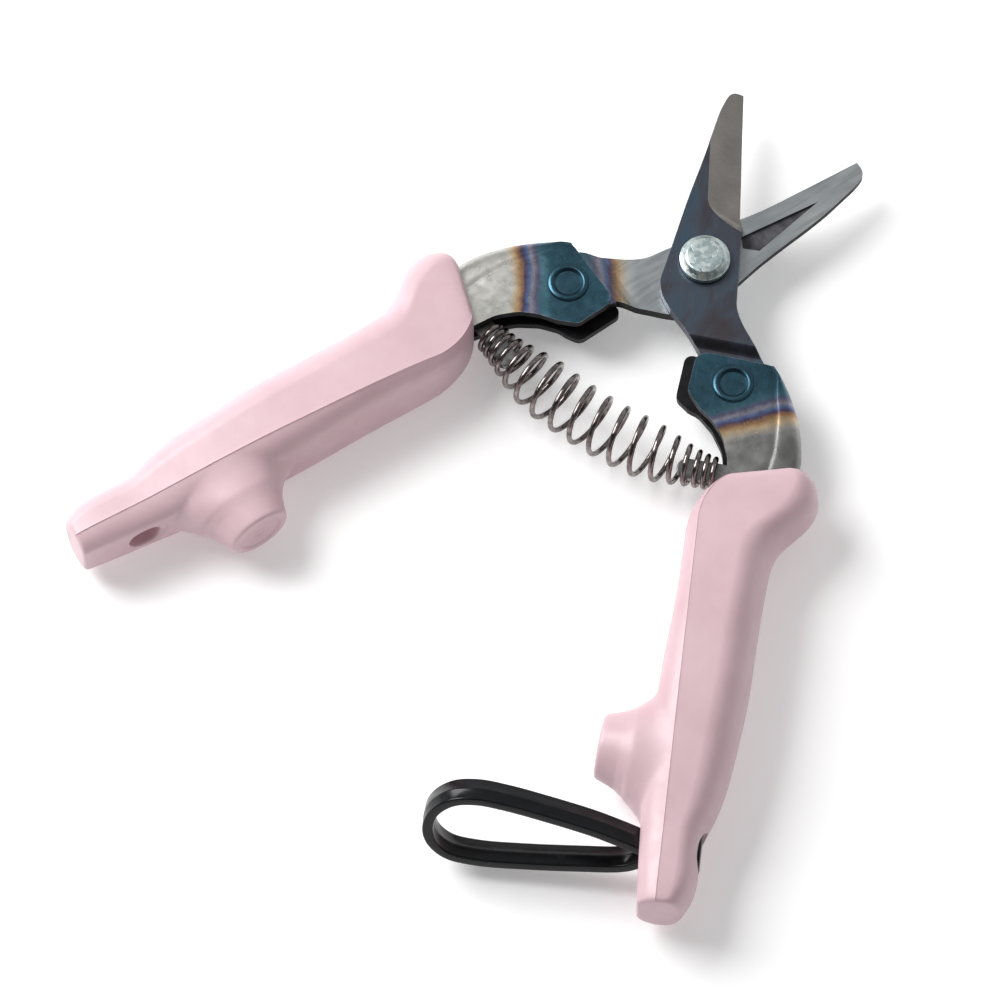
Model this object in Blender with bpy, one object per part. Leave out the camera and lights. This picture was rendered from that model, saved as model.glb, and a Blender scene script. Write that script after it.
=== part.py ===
"""Floral snips: two blades on a pivot rivet, folded steel tangs, moulded grips, a barrel spring
between the tangs and a lock strap on one tail.

Lengths in this file are millimetres and become metres when a mesh is made. The object's origin is
the centre of the pivot rivet's flat head. +Z points out of the head, +Y along the line that halves
the open blades, and +X towards the right grip.

Each half is drawn closed, with the line of symmetry on x = 0 and the pivot axis on x = y = 0, on a
plane z = 0 where the two blades meet. It then turns by HALF_OPEN about the pivot to its rest place.
Grips and tails use handle coordinates: s runs down the handle from the pivot, u points outwards.
"""
import math

import bmesh
import bpy
from mathutils import Matrix, Vector

MM = 0.001

# pivot and opening
HALF_OPEN = math.radians(22.35)      # each half turns this far from closed to the rest pose
HANDLE_TILT = math.radians(5.35)     # the closed handle line leans outwards from the centre line
RIVET_FACE = 5.6                     # the rivet's flat face above the plane where the blades meet
RIVET_HEAD_RADIUS = 5.0
RIVET_FACE_RADIUS = 3.7
RIVET_SHANK_RADIUS = 2.9
RIVET_TAIL_RADIUS = 3.9
RIVET_TAIL = -5.9
WASHER_RADIUS = 4.7
WASHER_THICKNESS = 0.8
CLEARANCE = 0.3                      # gap kept between pieces that touch

# blades
BLADE_GAP = 0.15                     # each blade's inner face stands this far off the meeting plane
BLADE_THICKNESS = 2.6
BLADE_TIP_Y = 38.4
BEVEL_SLOPE = 0.36                   # rise of the ground bevel for each mm away from the edge
BEVEL_START = (-2.1, 13.6)           # the bevel's upper end on the ground face
FRONT_TIP_X = 0.3
REAR_TIP_X = 2.3                     # the rear blade is ground less, so it is wider at the nose
HOLLOW_DEPTH = 0.35
JOGGLE = 1.45                        # the tail steps down to lie in the middle of the tang
JOGGLE_START = -16.3
JOGGLE_END = -18.4
BLADE_HOLE_RADIUS = 3.2

# tangs
SHEET = 1.8
TANG_HALF = 3.4                      # half the tang's thickness
SPINE_ROUND = 2.6
TANG_RIVET = (10.7, -25.3)
TANG_RIVET_RADIUS = 4.05
TANG_RIVET_DISH = 2.75
TANG_RIVET_SHANK = 2.0
TAB_Y = (-45.4, -41.2)
TAB_TIP_X = 3.3
TAB_HALF = 0.7

# grips, in handle coordinates
MOUTH_S = 46.6
TAIL_S = 136.6
MOUTH_SLOPE = 0.22                   # the mouth leans up towards the outer side
MOUTH_FADE = 14.0
SOCKET_GAP = 0.3
SLOT_S = 124.0
SLOT_LENGTH = 6.6
SLOT_HEIGHT = 5.4
BOSS_Y = -104.3
BOSS_FACE_X = 0.2

# return spring, in the rest pose
WIRE_RADIUS = 0.55
SPRING_END_X = 26.7
SPRING_MID_Y = -40.15
SPRING_RISE = 3.95                   # the ends stand this much nearer the pivot than the middle
COIL_END_RADIUS = 2.95
COIL_MID_RADIUS = 5.65
PITCH_END = 1.5
PITCH_MID = 4.3
SPRING_TAPER = 16.0
CREST_X = 0.85                       # a coil crest lies here, which sets the helix's phase
STEPS_PER_TURN = 12

# lock strap
STRAP_WIDTH = 5.0
STRAP_THICKNESS = 2.0
STRAP_LAYER = 1.2                    # each run's centre lies this far from the slot's middle
STRAP_TWIST = math.radians(20.0)
STRAP_TWIST_LENGTH = 9.0
SEAT_U = 8.4                         # floor of the stopper's seat in the outer side
SEAT_LENGTH = 8.8
SEAT_HEIGHT = 7.4
STOPPER_DEPTH = 2.7

SEGMENTS = 40


# ---------------------------------------------------------------- helpers

def clear_scene():
    for thing in list(bpy.data.objects):
        bpy.data.objects.remove(thing, do_unlink=True)


def material(name, color, roughness, metallic):
    made = bpy.data.materials.new(name)
    made.use_nodes = True
    shader = made.node_tree.nodes["Principled BSDF"]
    shader.inputs["Base Color"].default_value = (*color, 1.0)
    shader.inputs["Roughness"].default_value = roughness
    shader.inputs["Metallic"].default_value = metallic
    return made


def steel(name, color, roughness=0.35):
    return material(name, color, roughness, 1.0)


def plastic(name, color, roughness=0.3):
    return material(name, color, roughness, 0.0)


def half_frames():
    """One empty for each half, on the pivot axis, turned from closed to the rest pose."""
    frames = {}
    for side, turn in (("right", HALF_OPEN), ("left", -HALF_OPEN)):
        empty = bpy.data.objects.new(side + "_half_frame", None)
        bpy.context.collection.objects.link(empty)
        empty.location = (0, 0, -RIVET_FACE * MM)
        empty.rotation_euler = (0, 0, turn)
        frames[side] = empty
    middle = bpy.data.objects.new("pivot_frame", None)
    bpy.context.collection.objects.link(middle)
    middle.location = (0, 0, -RIVET_FACE * MM)
    frames["middle"] = middle
    return frames


def finish(name, bm, frame, look, smooth=None):
    """Turns a bmesh in millimetres into a named object under its frame."""
    bmesh.ops.recalc_face_normals(bm, faces=bm.faces)
    bmesh.ops.scale(bm, vec=(MM, MM, MM), verts=bm.verts)
    mesh = bpy.data.meshes.new(name)
    bm.to_mesh(mesh)
    bm.free()
    if smooth is not None:
        mesh.shade_smooth()
        mesh.set_sharp_from_angle(angle=math.radians(smooth))
    mesh.materials.append(look)
    made = bpy.data.objects.new(name, mesh)
    bpy.context.collection.objects.link(made)
    made.parent = frame
    return made


def mirrored(bm):
    """The same shape for the left half, mirrored across x = 0."""
    bmesh.ops.scale(bm, vec=(-1, 1, 1), verts=bm.verts)
    bmesh.ops.reverse_faces(bm, faces=bm.faces)
    return bm


def prism(outline, low, high):
    """A plate with this outline from z = low to z = high."""
    bm = bmesh.new()
    floor = [bm.verts.new((x, y, low)) for x, y in outline]
    face = bm.faces.new(floor)
    raised = bmesh.ops.extrude_face_region(bm, geom=[face])
    top = [v for v in raised["geom"] if isinstance(v, bmesh.types.BMVert)]
    bmesh.ops.translate(bm, vec=(0, 0, high - low), verts=top)
    bmesh.ops.recalc_face_normals(bm, faces=bm.faces)
    return bm


def loft(rings):
    """A closed body through rings of equal length, with flat ends."""
    bm = bmesh.new()
    rows = [[bm.verts.new(point) for point in ring] for ring in rings]
    count = len(rows[0])
    for low, high in zip(rows, rows[1:]):
        for i in range(count):
            j = (i + 1) % count
            bm.faces.new((low[i], low[j], high[j], high[i]))
    bm.faces.new(rows[0])
    bm.faces.new(rows[-1])
    bmesh.ops.recalc_face_normals(bm, faces=bm.faces)
    return bm


def turned(profile, centre=(0.0, 0.0), segments=SEGMENTS):
    """A body turned about a line along z. The profile runs from the bottom to the top."""
    rings = []
    for radius, height in profile:
        ring = []
        for i in range(segments):
            angle = 2 * math.pi * i / segments
            ring.append((centre[0] + radius * math.cos(angle), centre[1] + radius * math.sin(angle), height))
        rings.append(ring)
    return loft(rings)


def scratch(bm, name):
    """A hidden helper object for a Boolean."""
    mesh = bpy.data.meshes.new(name)
    bm.to_mesh(mesh)
    bm.free()
    made = bpy.data.objects.new(name, mesh)
    bpy.context.collection.objects.link(made)
    made.hide_render = True
    made.display_type = "WIRE"
    return made


def boolean(base, tool, operation):
    """The bmesh that is left when tool is cut from, or joined to, base."""
    body = scratch(base, "boolean_body")
    other = scratch(tool, "boolean_tool")
    step = body.modifiers.new("Boolean", "BOOLEAN")
    step.operation = operation
    step.solver = "EXACT"
    step.object = other
    bpy.context.view_layer.update()
    result = body.evaluated_get(bpy.context.evaluated_depsgraph_get())
    bm = bmesh.new()
    bm.from_mesh(result.to_mesh())
    result.to_mesh_clear()
    bpy.data.objects.remove(body, do_unlink=True)
    bpy.data.objects.remove(other, do_unlink=True)
    return bm


def cut(base, tool):
    return boolean(base, tool, "DIFFERENCE")


def join(base, tool):
    return boolean(base, tool, "UNION")


def smooth_step(value):
    value = max(0.0, min(1.0, value))
    return value * value * (3 - 2 * value)


def along(knots, where):
    """The value at `where` of a soft curve through (place, value) knots in rising order."""
    if where <= knots[0][0]:
        return knots[0][1]
    for k in range(len(knots) - 1):
        if where <= knots[k + 1][0]:
            (x0, y0), (x1, y1) = knots[k], knots[k + 1]
            before = knots[max(k - 1, 0)]
            after = knots[min(k + 2, len(knots) - 1)]
            rise0 = (y1 - before[1]) / (x1 - before[0])
            rise1 = (after[1] - y0) / (after[0] - x0)
            t = (where - x0) / (x1 - x0)
            span = x1 - x0
            return ((2 * t**3 - 3 * t**2 + 1) * y0 + (t**3 - 2 * t**2 + t) * span * rise0
                    + (-2 * t**3 + 3 * t**2) * y1 + (t**3 - t**2) * span * rise1)
    return knots[-1][1]


def handle(s, u, z=0.0):
    """Handle coordinates to the closed frame."""
    return Vector((s * math.sin(HANDLE_TILT) + u * math.cos(HANDLE_TILT),
                   -s * math.cos(HANDLE_TILT) + u * math.sin(HANDLE_TILT), z))


# ---------------------------------------------------------------- blades

def blade_outline(tip_x):
    """Corners of a blade, up the back, round the nose, down the cutting edge and round the tail."""
    back = [(3.6, -27.4), (2.9, -19.0), (-4.7, -11.4), (-7.7, -7.2), (-7.5, -2.6), (-5.9, 12.6),
            (-4.5, 23.3), (-4.0, 29.0), (-3.4, 33.4), (tip_x - 2.9, BLADE_TIP_Y - 1.2)]
    nose = [(tip_x - 2.2, BLADE_TIP_Y - 0.2), (tip_x - 1.0, BLADE_TIP_Y + 0.1), (tip_x, BLADE_TIP_Y)]
    edge = [(4.9, 11.2), (6.0, 9.0), (6.1, 5.9), (6.7, 1.7), (7.6, -5.0)]
    neck = [(8.2, -8.6), (9.7, -11.5), (12.1, -14.6), (15.8, -19.0), (16.6, -21.0), (18.2, -29.5), (6.4, -30.2)]
    return back + nose + edge + neck


def grinding_wedge(tip_x):
    """The stone's path: a slope up from the cutting edge that runs out in an arc at the heel."""
    face = BLADE_GAP + BLADE_THICKNESS
    start_x, start_y = BEVEL_START
    lean = 0.09 + (REAR_TIP_X - tip_x) * 0.0335
    side, far = 12.0, 46.0
    heel = [BEVEL_START, (-1.4, 12.0), (1.8, 9.5), (6.4, 7.9), (side, 7.4)]
    bm = bmesh.new()
    for x, y in heel + [(side, far), (start_x - (far - start_y) * lean, far)]:
        bm.verts.new((x, y, face))
        bm.verts.new((x, y, face + 3.0))
    for x, y in ((5.1, 11.2), (side, 10.4), (side, far)):
        drop = BEVEL_SLOPE * (x - start_x + (y - start_y) * lean)
        bm.verts.new((x, y, face - drop))
    bmesh.ops.convex_hull(bm, input=bm.verts)
    return bm


def blade(tip_x):
    """One blade, ground face up, with its inner face just above the meeting plane."""
    face = BLADE_GAP + BLADE_THICKNESS
    bm = prism(blade_outline(tip_x), BLADE_GAP, face)
    for bend in (JOGGLE_START, JOGGLE_END):
        geometry = bm.verts[:] + bm.edges[:] + bm.faces[:]
        bmesh.ops.bisect_plane(bm, geom=geometry, plane_co=(0, bend, 0), plane_no=(0, 1, 0), dist=1e-5)
    for vert in bm.verts:
        share = (JOGGLE_START - vert.co.y) / (JOGGLE_START - JOGGLE_END)
        vert.co.z -= JOGGLE * max(0.0, min(1.0, share))
    bm = cut(bm, grinding_wedge(tip_x))
    hollow = [(1.2, 9.8), (-0.6, 27.0), (-3.0, 11.2), (-0.8, 8.6)]
    bm = cut(bm, prism(hollow, BLADE_GAP - 1.0, BLADE_GAP + HOLLOW_DEPTH))
    bm = cut(bm, turned([(BLADE_HOLE_RADIUS, -4), (BLADE_HOLE_RADIUS, 7)]))
    hole = TANG_RIVET_SHANK + CLEARANCE
    return cut(bm, turned([(hole, -4), (hole, 4)], TANG_RIVET, 24))


def blades(frames):
    """The rear blade is the same stamping turned over."""
    finish("front_blade", blade(FRONT_TIP_X), frames["right"], steel("blued_steel", (0.13, 0.15, 0.19)))
    rear = blade(REAR_TIP_X)
    bmesh.ops.rotate(rear, cent=(0, 0, 0), matrix=Matrix.Rotation(math.pi, 3, "Y"), verts=rear.verts)
    finish("rear_blade", rear, frames["left"], steel("ground_steel", (0.42, 0.43, 0.43)))


# ---------------------------------------------------------------- pivot

def pivot(frames):
    """The rivet through both blades, its washer at the back and the peened end below that."""
    blade_top = BLADE_GAP + BLADE_THICKNESS
    seat = blade_top + CLEARANCE
    washer_top = -blade_top - CLEARANCE
    washer_low = washer_top - WASHER_THICKNESS
    peen = washer_low - CLEARANCE
    rivet = turned([
        (2.2, RIVET_TAIL), (3.3, RIVET_TAIL + 0.35), (RIVET_TAIL_RADIUS, RIVET_TAIL + 1.1),
        (RIVET_TAIL_RADIUS, peen), (RIVET_SHANK_RADIUS, peen), (RIVET_SHANK_RADIUS, seat),
        (RIVET_HEAD_RADIUS, seat), (RIVET_HEAD_RADIUS, RIVET_FACE - 1.4),
        (RIVET_FACE_RADIUS, RIVET_FACE),
    ])
    finish("pivot_rivet", rivet, frames["middle"], steel("zinc_plate", (0.52, 0.6, 0.6), 0.3), 30)
    ring = turned([(WASHER_RADIUS, washer_low), (WASHER_RADIUS, washer_top)])
    bore = RIVET_SHANK_RADIUS + CLEARANCE
    ring = cut(ring, turned([(bore, washer_low - 1), (bore, washer_top + 1)]))
    finish("pivot_washer", ring, frames["middle"], steel("washer_steel", (0.5, 0.5, 0.5)), 30)


# ---------------------------------------------------------------- tangs

SPINE = [(18.3, -20.0), (21.2, -23.6), (24.0, -28.6), (26.0, -34.6), (26.9, -40.6), (26.0, -48.0),
         (22.6, -58.0), (21.6, -68.0), (21.4, -84.0)]
HIDDEN_END = [(14.6, -84.0), (12.9, -60.0), (13.5, -52.0), (13.4, -46.4)]
INNER_EDGE = [(12.9, -40.9), (11.0, -36.9), (8.2, -33.7), (5.2, -31.7), (2.3, -28.2), (2.6, -20.4),
              (3.2, -19.7)]


def rounded_spine(bm):
    """Rounds the outer edges of the fold."""
    spine = [Vector((x, y)) for x, y in SPINE]
    chosen = []
    for edge in bm.edges:
        ends = [vert.co.xy for vert in edge.verts]
        flat = abs(edge.verts[0].co.z - edge.verts[1].co.z) < 1e-6
        if flat and all(min((end - point).length for point in spine) < 1e-4 for end in ends):
            chosen.append(edge)
    bmesh.ops.bevel(bm, geom=chosen, offset=SPINE_ROUND, segments=3, profile=0.5, affect="EDGES")
    return bm


def spring_tab():
    """The tongue that the spring sits on: a plate in the middle of the fold, on a riser."""
    low, high = TAB_Y
    middle = (low + high) / 2
    reach = (high - low) / 2
    tip = []
    for i in range(7):
        angle = math.pi / 2 + math.pi * i / 6
        tip.append((TAB_TIP_X + reach * (1 + math.cos(angle)), middle + reach * math.sin(angle)))
    tongue = prism([(19.0, high)] + tip + [(19.0, low)], -TAB_HALF, TAB_HALF)
    riser = prism([(15.0, low), (18.0, low), (18.0, high), (15.0, high)], -2.4, TAB_HALF - 0.2)
    return join(tongue, riser)


def tang(back_corner):
    """A sheet folded round its outer edge, with a flap each side of the blade's tail."""
    body = rounded_spine(prism(SPINE + HIDDEN_END + INNER_EDGE, -TANG_HALF, TANG_HALF))
    body = join(body, prism(back_corner, -TANG_HALF, -TANG_HALF + SHEET))
    inner = TANG_HALF - SHEET
    fold = [(x - SHEET, y) for x, y in SPINE]
    fold[0] = (17.0, -17.0)
    channel = fold + [(19.6, -86.0), (8.0, -86.0), (-3.0, -46.0), (-3.0, -17.0)]
    body = cut(body, prism(channel, -inner, inner))
    body = join(body, spring_tab())
    hole = TANG_RIVET_SHANK + CLEARANCE
    return cut(body, turned([(hole, -5), (hole, 5)], TANG_RIVET, 24))


def tangs(frames):
    """The right tang's back flap reaches further in than the left one's."""
    deep = [(1.6, -18.6), (9.0, -19.6), (9.0, -34.0), (5.0, -31.2), (2.8, -30.4), (0.6, -29.2),
            (-0.1, -27.0), (-0.1, -19.6), (0.5, -18.8)]
    shallow = [(3.2, -18.8), (9.0, -19.6), (9.0, -34.0), (5.0, -31.2), (3.2, -30.4), (2.0, -29.2),
               (1.7, -27.8), (1.9, -20.0), (2.3, -19.1)]
    finish("right_tang", tang(deep), frames["right"], steel("tang_steel_right", (0.36, 0.35, 0.34)))
    left = mirrored(tang(shallow))
    finish("left_tang", left, frames["left"], steel("tang_steel_left", (0.5, 0.5, 0.48)))


def tang_rivet():
    """A tubular rivet through both flaps and the blade's tail, with a dished ring at each end."""
    low = -TANG_HALF - CLEARANCE
    high = TANG_HALF + CLEARANCE
    ring = 0.55
    lip = TANG_RIVET_RADIUS - 0.3
    return turned([
        (0.8, low - 0.1), (TANG_RIVET_DISH - 0.4, low - 0.1), (TANG_RIVET_DISH, low - ring),
        (lip, low - ring), (TANG_RIVET_RADIUS, low - 0.2), (TANG_RIVET_RADIUS, low),
        (TANG_RIVET_SHANK, low), (TANG_RIVET_SHANK, high), (TANG_RIVET_RADIUS, high),
        (TANG_RIVET_RADIUS, high + 0.2), (lip, high + ring), (TANG_RIVET_DISH, high + ring),
        (TANG_RIVET_DISH - 0.4, high + 0.1), (0.8, high + 0.1),
    ], TANG_RIVET, 28)


def tang_rivets(frames):
    look = steel("rivet_steel", (0.12, 0.2, 0.24))
    finish("right_tang_rivet", tang_rivet(), frames["right"], look, 30)
    finish("left_tang_rivet", mirrored(tang_rivet()), frames["left"], look, 30)


# ---------------------------------------------------------------- grips

OUTER_SIDE = [(46.6, 23.6), (47.4, 25.2), (48.8, 26.6), (50.6, 27.3), (52.4, 27.4), (54.4, 26.4),
              (56.4, 24.2), (58.4, 21.9), (60.6, 20.4), (63.5, 19.6), (70.0, 19.0), (80.0, 18.5),
              (91.0, 18.1), (101.0, 17.1), (111.0, 15.7), (117.0, 14.1), (121.0, 12.6), (125.0, 12.1),
              (131.0, 12.1), (134.6, 11.6), (136.0, 10.6), (136.6, 8.8)]
THICKNESS = [(46.6, 11.6), (47.4, 13.6), (49.0, 14.8), (54.0, 16.0), (62.0, 18.4), (70.0, 19.7),
             (76.0, 20.0), (80.0, 20.0), (88.0, 20.0), (92.0, 20.0), (98.0, 19.5), (106.0, 18.2),
             (115.0, 16.0), (122.0, 14.6), (132.0, 14.2), (135.6, 13.2), (136.6, 10.6)]


def inner_side(s):
    """The inner edge: a large round corner below the mouth, then a nearly straight run."""
    turn = max(0.0, min(1.0, (60.0 - s) / 13.4))
    corner = 2.3 + 8.2 * (1 - math.sqrt(1 - turn * turn))
    straight = along([(60.0, 2.3), (72.0, 2.0), (88.0, 0.8), (104.0, 0.3), (120.0, 0.3), (134.0, 0.9),
                      (136.0, 1.4), (136.6, 3.0)], s)
    return corner if s < 60.0 else straight


def grip_section(s):
    """Points round the grip at s: flat inside, full sides and a half-round outer side."""
    inner = inner_side(s)
    outer = along(OUTER_SIDE, s)
    half = along(THICKNESS, s) / 2
    fillet = 3.0
    flat = half * 0.52
    shoulder = inner + min(9.0, (outer - inner) * 0.5)
    upper = [(inner, 0.0), (inner, flat)]
    for i in (1, 2):
        angle = math.pi / 2 * i / 3
        upper.append((inner + fillet * (1 - math.cos(angle)), flat + (half - flat) * math.sin(angle)))
    upper.append((inner + fillet, half))
    for i in range(5):
        angle = math.pi / 2 * i / 5
        upper.append((shoulder + (outer - shoulder) * math.sin(angle), half * math.cos(angle) ** 0.9))
    lower = [(u, -z) for u, z in reversed(upper[1:])]
    slope = MOUTH_SLOPE * max(0.0, 1 - (s - MOUTH_S) / MOUTH_FADE)
    ring = upper + [(outer, 0.0)] + lower
    return [handle(s - slope * (u - 9.0), u, z) for u, z in ring]


def boss():
    """The stop that meets its twin when the handles close, flaring into the grip."""
    rings = [(BOSS_FACE_X, 5.7, 5.7), (BOSS_FACE_X + 0.5, 6.2, 6.2), (4.6, 6.9, 6.7), (7.6, 8.6, 7.6),
             (10.2, 12.0, 8.3), (13.4, 12.6, 8.3)]
    rows = []
    for x, radius_y, radius_z in rings:
        row = []
        for i in range(24):
            angle = 2 * math.pi * i / 24
            row.append((x, BOSS_Y + radius_y * math.cos(angle), radius_z * math.sin(angle)))
        rows.append(row)
    return loft(rows)


def socket():
    """The pocket that the tang fits into."""
    top = -38.0
    depth = 84.0 + SOCKET_GAP
    outer = [(x + SOCKET_GAP * 1.2, y) for x, y in SPINE[3:-1]]
    outer[0] = (27.2, top)
    outer.append((SPINE[-1][0] + SOCKET_GAP, -depth))
    inner = [(HIDDEN_END[0][0] - SOCKET_GAP, -depth)]
    inner += [(x - SOCKET_GAP * 1.2, y) for x, y in HIDDEN_END[1:]]
    inner.append((12.7, top))
    half = TANG_HALF + SOCKET_GAP
    return prism(outer + inner, -half, half)


def slot_body(length, height, levels):
    """A bar across the handle with round ends, through the given u levels."""
    straight = (length - height) / 2
    ring = []
    for i in range(16):
        angle = 2 * math.pi * (i + 0.5) / 16
        shift = straight if math.cos(angle) > 0 else -straight
        ring.append((SLOT_S + shift + height / 2 * math.cos(angle), height / 2 * math.sin(angle)))
    return loft([[handle(s, u, z) for s, z in ring] for u in levels])


def grip():
    stations = [46.6, 47.1, 47.9, 49.2, 50.8, 52.4, 54.4, 56.4, 58.4, 60.6, 63.5, 70.0, 80.0, 88.0,
                98.0, 108.0, 114.0, 118.0, 122.0, 128.0, 132.5, 135.0, 136.1, TAIL_S]
    body = loft([grip_section(s) for s in stations])
    body = join(body, boss())
    body = cut(body, socket())
    body = cut(body, slot_body(SLOT_LENGTH, SLOT_HEIGHT, (-6.0, 18.0)))
    return cut(body, slot_body(SEAT_LENGTH, SEAT_HEIGHT, (SEAT_U, 18.0)))


def grips(frames):
    look = plastic("pink_grip", (0.72, 0.55, 0.59), 0.25)
    finish("right_grip", grip(), frames["right"], look, 40)
    finish("left_grip", mirrored(grip()), frames["left"], look, 40)


# ---------------------------------------------------------------- return spring

def spring_pitch(x):
    from_end = max(0.0, SPRING_END_X - abs(x))
    return PITCH_END + (PITCH_MID - PITCH_END) * smooth_step(from_end / SPRING_TAPER)


def coil_radius(x):
    from_end = max(0.0, SPRING_END_X - abs(x))
    return COIL_END_RADIUS + (COIL_MID_RADIUS - COIL_END_RADIUS) * smooth_step(from_end / SPRING_TAPER)


def spring_wire():
    """Points along the wire: a barrel helix whose axis bows away from the pivot."""
    forward = []
    for direction in (1, -1):
        x = CREST_X
        turn = 0.0
        run = []
        while abs(x) < SPRING_END_X:
            run.append((x, turn))
            turn += direction / STEPS_PER_TURN
            x += direction * spring_pitch(x) / STEPS_PER_TURN
        forward.append(run)
    points = []
    for x, turn in list(reversed(forward[1]))[:-1] + forward[0]:
        slope = 2 * SPRING_RISE * x / SPRING_END_X ** 2
        tangent = Vector((1, slope, 0)).normalized()
        across = Vector((-tangent.y, tangent.x, 0))
        angle = math.pi / 2 - 2 * math.pi * turn
        centre = Vector((x, SPRING_MID_Y + SPRING_RISE * (x / SPRING_END_X) ** 2, 0))
        radius = coil_radius(x)
        points.append(centre + radius * (across * math.sin(angle) + Vector((0, 0, 1)) * math.cos(angle)))
    return points


def tube(points, radius, sides):
    """A round wire through the points, with flat ends."""
    rings = []
    side = Vector((0, 0, 1))
    for i, point in enumerate(points):
        tangent = (points[min(i + 1, len(points) - 1)] - points[max(i - 1, 0)]).normalized()
        side = (side - tangent * side.dot(tangent)).normalized()
        other = tangent.cross(side)
        ring = []
        for k in range(sides):
            angle = 2 * math.pi * k / sides
            ring.append(point + radius * (side * math.cos(angle) + other * math.sin(angle)))
        rings.append(ring)
    return loft(rings)


def return_spring(frames):
    wire = tube(spring_wire(), WIRE_RADIUS, 6)
    finish("return_spring", wire, frames["middle"], steel("spring_steel", (0.42, 0.39, 0.37), 0.3), 60)


# ---------------------------------------------------------------- lock strap

LOOP = [(0.0, 1.2), (3.0, 2.0), (9.0, 4.4), (18.0, 7.2), (26.0, 9.3), (31.5, 10.2), (36.0, 9.2),
        (39.4, 5.9), (40.8, 1.4), (39.8, -3.0), (36.6, -6.3), (31.0, -7.3), (21.0, -6.2), (10.0, -4.3),
        (3.5, -2.2), (0.0, -1.2)]


def loop_path():
    """The loop's centre line as (reach, height) points, smoothed through the LOOP points."""
    path = []
    for k in range(len(LOOP) - 1):
        p0, p1, p2, p3 = (LOOP[max(0, min(len(LOOP) - 1, k + j))] for j in (-1, 0, 1, 2))
        for i in range(3):
            t = i / 3
            path.append(tuple(
                0.5 * (2 * b + (c - a) * t + (2 * a - 5 * b + 4 * c - d) * t**2 + (3 * b - a - 3 * c + d) * t**3)
                for a, b, c, d in zip(p0, p1, p2, p3)))
    path.append(LOOP[-1])
    return path


def strap_frame(reach, height):
    """A point of the strap and its width direction, in the closed frame of the right half."""
    twist = STRAP_TWIST * smooth_step(reach / STRAP_TWIST_LENGTH)
    down = handle(1, 0)
    outward = handle(0, 1)
    up = Vector((0, 0, 1)) * math.cos(twist) - down * math.sin(twist)
    width = down * math.cos(twist) + Vector((0, 0, 1)) * math.sin(twist)
    return handle(SLOT_S, 0.2) - outward * reach + up * height, width


def lock_strap(frames):
    """A moulded band that runs through the slot, round its loop and back to the stopper."""
    end = SEAT_U
    path = [(-end, STRAP_LAYER), (-end / 2, STRAP_LAYER)] + loop_path()
    path += [(-end / 2, -STRAP_LAYER), (-end, -STRAP_LAYER)]
    placed = [strap_frame(*point) for point in path]
    half_width = STRAP_WIDTH / 2
    half_thick = STRAP_THICKNESS / 2
    corner = 0.4
    section = [(half_width, half_thick - corner), (half_width - corner, half_thick),
               (corner - half_width, half_thick), (-half_width, half_thick - corner),
               (-half_width, corner - half_thick), (corner - half_width, -half_thick),
               (half_width - corner, -half_thick), (half_width, corner - half_thick)]
    rings = []
    for i, (point, width) in enumerate(placed):
        tangent = (placed[min(i + 1, len(placed) - 1)][0] - placed[max(i - 1, 0)][0]).normalized()
        across = (width - tangent * width.dot(tangent)).normalized()
        normal = tangent.cross(across)
        rings.append([point + across * w + normal * t for w, t in section])
    look = plastic("black_rubber", (0.03, 0.032, 0.035), 0.35)
    finish("lock_strap", loft(rings), frames["right"], look, 40)


def strap_stopper(frames):
    """The bead that keeps the strap's ends from pulling back through the slot."""
    low = SEAT_U + CLEARANCE
    levels = (low, low + STOPPER_DEPTH)
    body = slot_body(SEAT_LENGTH - 2 * CLEARANCE, SEAT_HEIGHT - 2 * CLEARANCE, levels)
    look = plastic("stopper_rubber", (0.03, 0.03, 0.032), 0.4)
    finish("strap_stopper", body, frames["right"], look, 40)


def build():
    clear_scene()
    frames = half_frames()
    blades(frames)
    pivot(frames)
    tangs(frames)
    tang_rivets(frames)
    grips(frames)
    return_spring(frames)
    lock_strap(frames)
    strap_stopper(frames)


build()
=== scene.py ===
"""Floral snips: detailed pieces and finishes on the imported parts, with a floor, lights and a camera.

Shapes are drawn in millimetres in the closed frame of their half: the pivot axis is x = y = 0, the blades
meet at z = 0 and x = 0 halves the closed tool. Each piece is then turned to its rest place.
Grips use handle coordinates: s runs down the handle from the pivot and u points outwards.
"""

import math

import bmesh
import bpy
import numpy as np
from mathutils import Matrix, Vector


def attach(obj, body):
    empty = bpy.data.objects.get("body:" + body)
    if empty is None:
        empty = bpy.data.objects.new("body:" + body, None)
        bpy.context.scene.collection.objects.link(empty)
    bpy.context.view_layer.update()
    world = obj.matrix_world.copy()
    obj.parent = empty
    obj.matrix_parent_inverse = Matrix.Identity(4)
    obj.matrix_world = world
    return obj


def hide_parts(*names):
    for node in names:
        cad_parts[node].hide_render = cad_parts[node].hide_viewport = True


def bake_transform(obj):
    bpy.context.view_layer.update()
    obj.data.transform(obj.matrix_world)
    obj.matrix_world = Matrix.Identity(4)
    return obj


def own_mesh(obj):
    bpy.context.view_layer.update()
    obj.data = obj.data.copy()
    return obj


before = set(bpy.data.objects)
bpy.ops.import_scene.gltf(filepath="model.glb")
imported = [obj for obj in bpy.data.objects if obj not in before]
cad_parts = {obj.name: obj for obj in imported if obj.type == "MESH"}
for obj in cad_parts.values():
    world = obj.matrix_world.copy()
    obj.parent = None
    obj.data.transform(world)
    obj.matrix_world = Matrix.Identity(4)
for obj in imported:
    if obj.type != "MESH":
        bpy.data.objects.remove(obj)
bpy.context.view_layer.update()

MM = 0.001
HALF_OPEN_DEGREES = 22.35            # each half turns this far from closed to the rest pose
HALF_OPEN = math.radians(HALF_OPEN_DEGREES)
HANDLE_TILT = math.radians(5.35)
MEET_Z = -5.6                        # the plane where the two blades meet, below the rivet's head


# ---------------------------------------------------------------- places and meshes

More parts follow.
